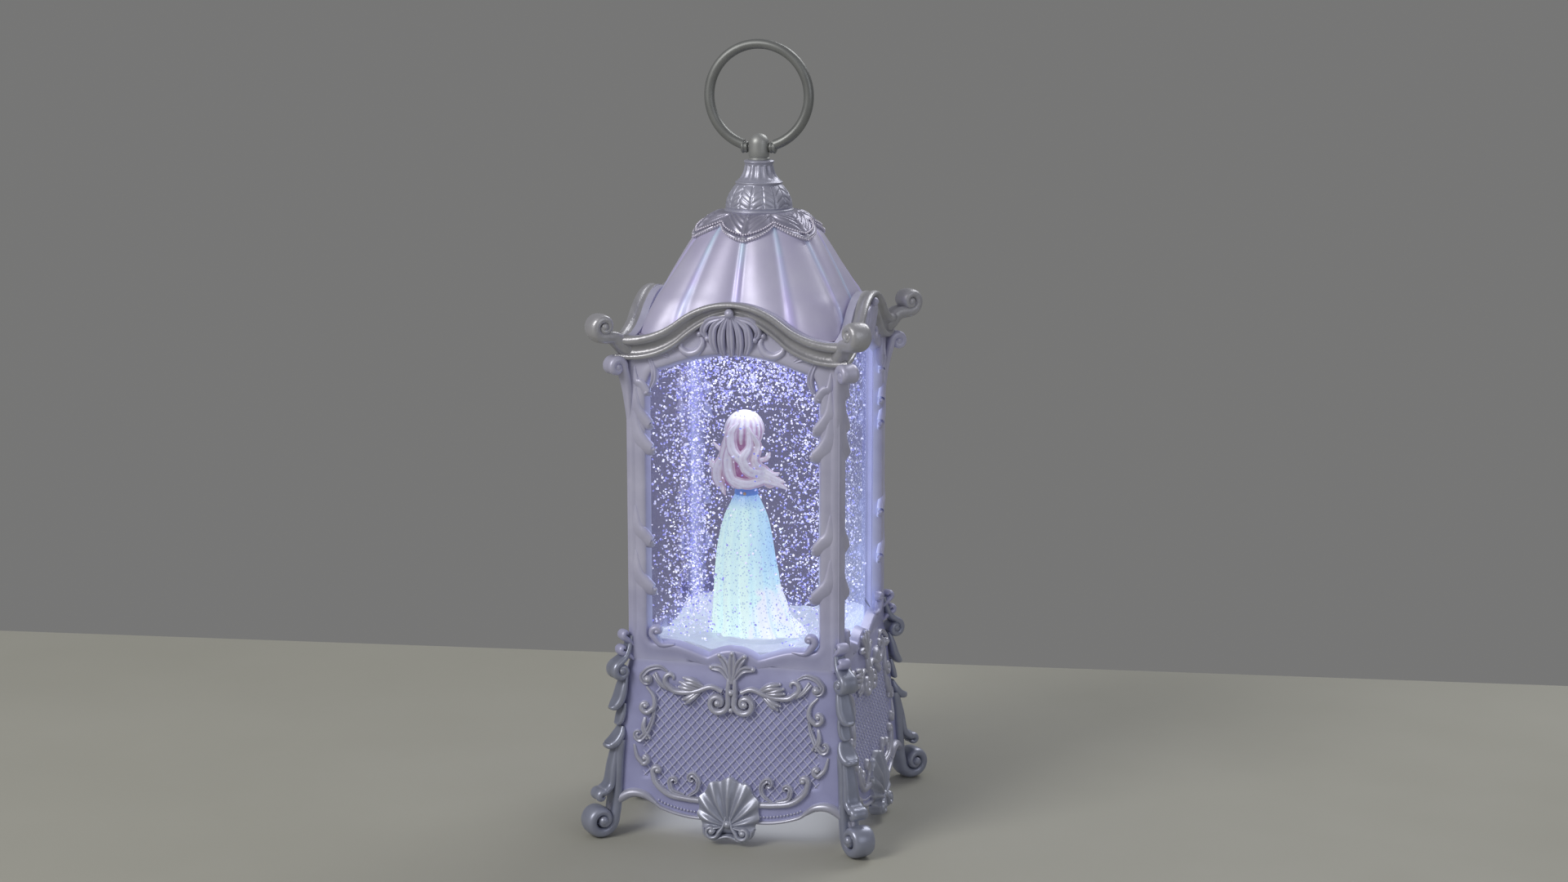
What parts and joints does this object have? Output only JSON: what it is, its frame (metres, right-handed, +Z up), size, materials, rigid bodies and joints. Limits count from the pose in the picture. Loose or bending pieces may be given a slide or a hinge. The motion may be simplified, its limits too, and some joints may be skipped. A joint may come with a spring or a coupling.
{
  "type": "musical water lantern",
  "caption": "Lighted glitter-water musical lantern: square pavilion tower with arched windows, bell roof and ring handle on scroll feet, with a gowned figurine turning inside.",
  "frame": {"origin": "on the table, under the tower's axis, at the centre of the four feet", "axes": "+Z up along the tower's axis, -Y towards the front window, +X to the right as seen from the front"},
  "size_m": [0.1446, 0.1446, 0.3682],
  "materials": {
    "silver_metal": "satin silver paint with a lilac tint",
    "silver_plastic": "satin silver paint over moulded plastic",
    "lilac_plastic": "lilac pearl plastic",
    "clear_plastic": "clear acrylic",
    "tinted_water": "violet-tinted glitter liquid",
    "snow_plastic": "white textured plastic",
    "gown_plastic": "pale aqua paint",
    "skin_plastic": "painted skin tone",
    "hair_plastic": "very pale blond paint",
    "cover_plastic": "matt lilac-grey plastic",
    "gear_plastic": "natural moulded plastic",
    "button_plastic": "dark plastic",
    "steel": "plain steel",
    "circuit_board": "green circuit board",
    "black_rubber": "black rubber",
    "cell_wrap": "plain printed sleeve"
  },
  "bodies": {
    "lantern": {"finial_knob": "silver_metal", "finial": "silver_plastic", "leaf_collar": "silver_plastic", "cornice_scrolls": "silver_plastic", "shell_medallions": "silver_plastic", "cornice_front": "silver_plastic", "cornice_right": "silver_plastic", "cornice_back": "silver_plastic", "cornice_left": "silver_plastic", "pilaster_front_right": "silver_plastic", "pilaster_back_right": "silver_plastic", "pilaster_back_left": "silver_plastic", "pilaster_front_left": "silver_plastic", "leg_front_right": "silver_plastic", "leg_back_right": "silver_plastic", "leg_back_left": "silver_plastic", "leg_front_left": "silver_plastic", "roof_dome": "lilac_plastic", "base_shell": "lilac_plastic", "frame_front": "lilac_plastic", "frame_right": "lilac_plastic", "frame_back": "lilac_plastic", "frame_left": "lilac_plastic", "tank_shell": "clear_plastic", "glitter_water": "tinted_water", "snow_mound": "snow_plastic", "base_cover": "cover_plastic", "battery_tray": "cover_plastic", "roof_plate": "cover_plastic", "tank_floor": "cover_plastic", "speaker": "cover_plastic", "mechanism_plate": "gear_plastic", "case_screws": "steel", "tank_screws": "steel", "tank_pivots": "steel", "motor": "steel", "battery_contacts": "steel", "light_board": "circuit_board", "roof_led_board": "circuit_board", "control_board": "circuit_board", "tank_gasket": "black_rubber", "fill_plug": "black_rubber", "roof_led_lead": "black_rubber", "battery_cells": "cell_wrap"},
    "ring": {"ring_handle": "silver_metal"},
    "figurine": {"turntable": "snow_plastic", "turntable_magnets": "steel", "figurine_gown": "gown_plastic", "figurine_body": "skin_plastic", "figurine_hair": "hair_plastic"},
    "driver": {"drive_gear": "gear_plastic", "driver_magnets": "steel"},
    "idler": {"idler_gear": "gear_plastic"},
    "rotor": {"motor_rotor": "steel", "impeller_driver": "gear_plastic"},
    "impeller": {"impeller": "gear_plastic"},
    "door": {"battery_door": "cover_plastic"},
    "slider": {"switch_slider": "button_plastic"},
    "button": {"music_button": "button_plastic"}
  },
  "joints": [
    {"name": "ring_swing", "type": "hinge", "parent": "lantern", "child": "ring", "pos_m": [0, 0, 0.3184], "axis": [1, 0, 0], "range_deg": [-125, 125]},
    {"name": "figurine_spin", "type": "hinge", "parent": "lantern", "child": "figurine", "pos_m": [0, 0, 0.084], "axis": [0, 0, 1], "continuous": true},
    {"name": "drive_spin", "type": "hinge", "parent": "lantern", "child": "driver", "pos_m": [0, 0, 0.07], "axis": [0, 0, 1], "continuous": true},
    {"name": "idler_spin", "type": "hinge", "parent": "lantern", "child": "idler", "pos_m": [0.00774, 0.01625, 0.066], "axis": [0, 0, 1], "continuous": true},
    {"name": "motor_spin", "type": "hinge", "parent": "lantern", "child": "rotor", "pos_m": [0, 0.0325, 0.066], "axis": [0, 0, 1], "continuous": true},
    {"name": "impeller_spin", "type": "hinge", "parent": "lantern", "child": "impeller", "pos_m": [0, 0.0325, 0.082], "axis": [0, 0, 1], "continuous": true},
    {"name": "battery_door_hinge", "type": "hinge", "parent": "lantern", "child": "door", "pos_m": [0, -0.0491, 0.0159], "axis": [-1, 0, 0], "range_deg": [0, 100]},
    {"name": "power_slide", "type": "slide", "parent": "lantern", "child": "slider", "axis": [1, 0, 0], "range_m": [0, 0.004]},
    {"name": "music_press", "type": "slide", "parent": "lantern", "child": "button", "axis": [0, 0, 1], "range_m": [0, 0.0015], "stiffness_N_per_m": 150, "springref_m": -0.001}
  ],
  "couplings": [
    {"joint": "drive_spin", "follows": "figurine_spin", "ratio": 1},
    {"joint": "idler_spin", "follows": "figurine_spin", "ratio": -3.2857},
    {"joint": "motor_spin", "follows": "figurine_spin", "ratio": 10.796},
    {"joint": "impeller_spin", "follows": "figurine_spin", "ratio": 10.796}
  ]
}
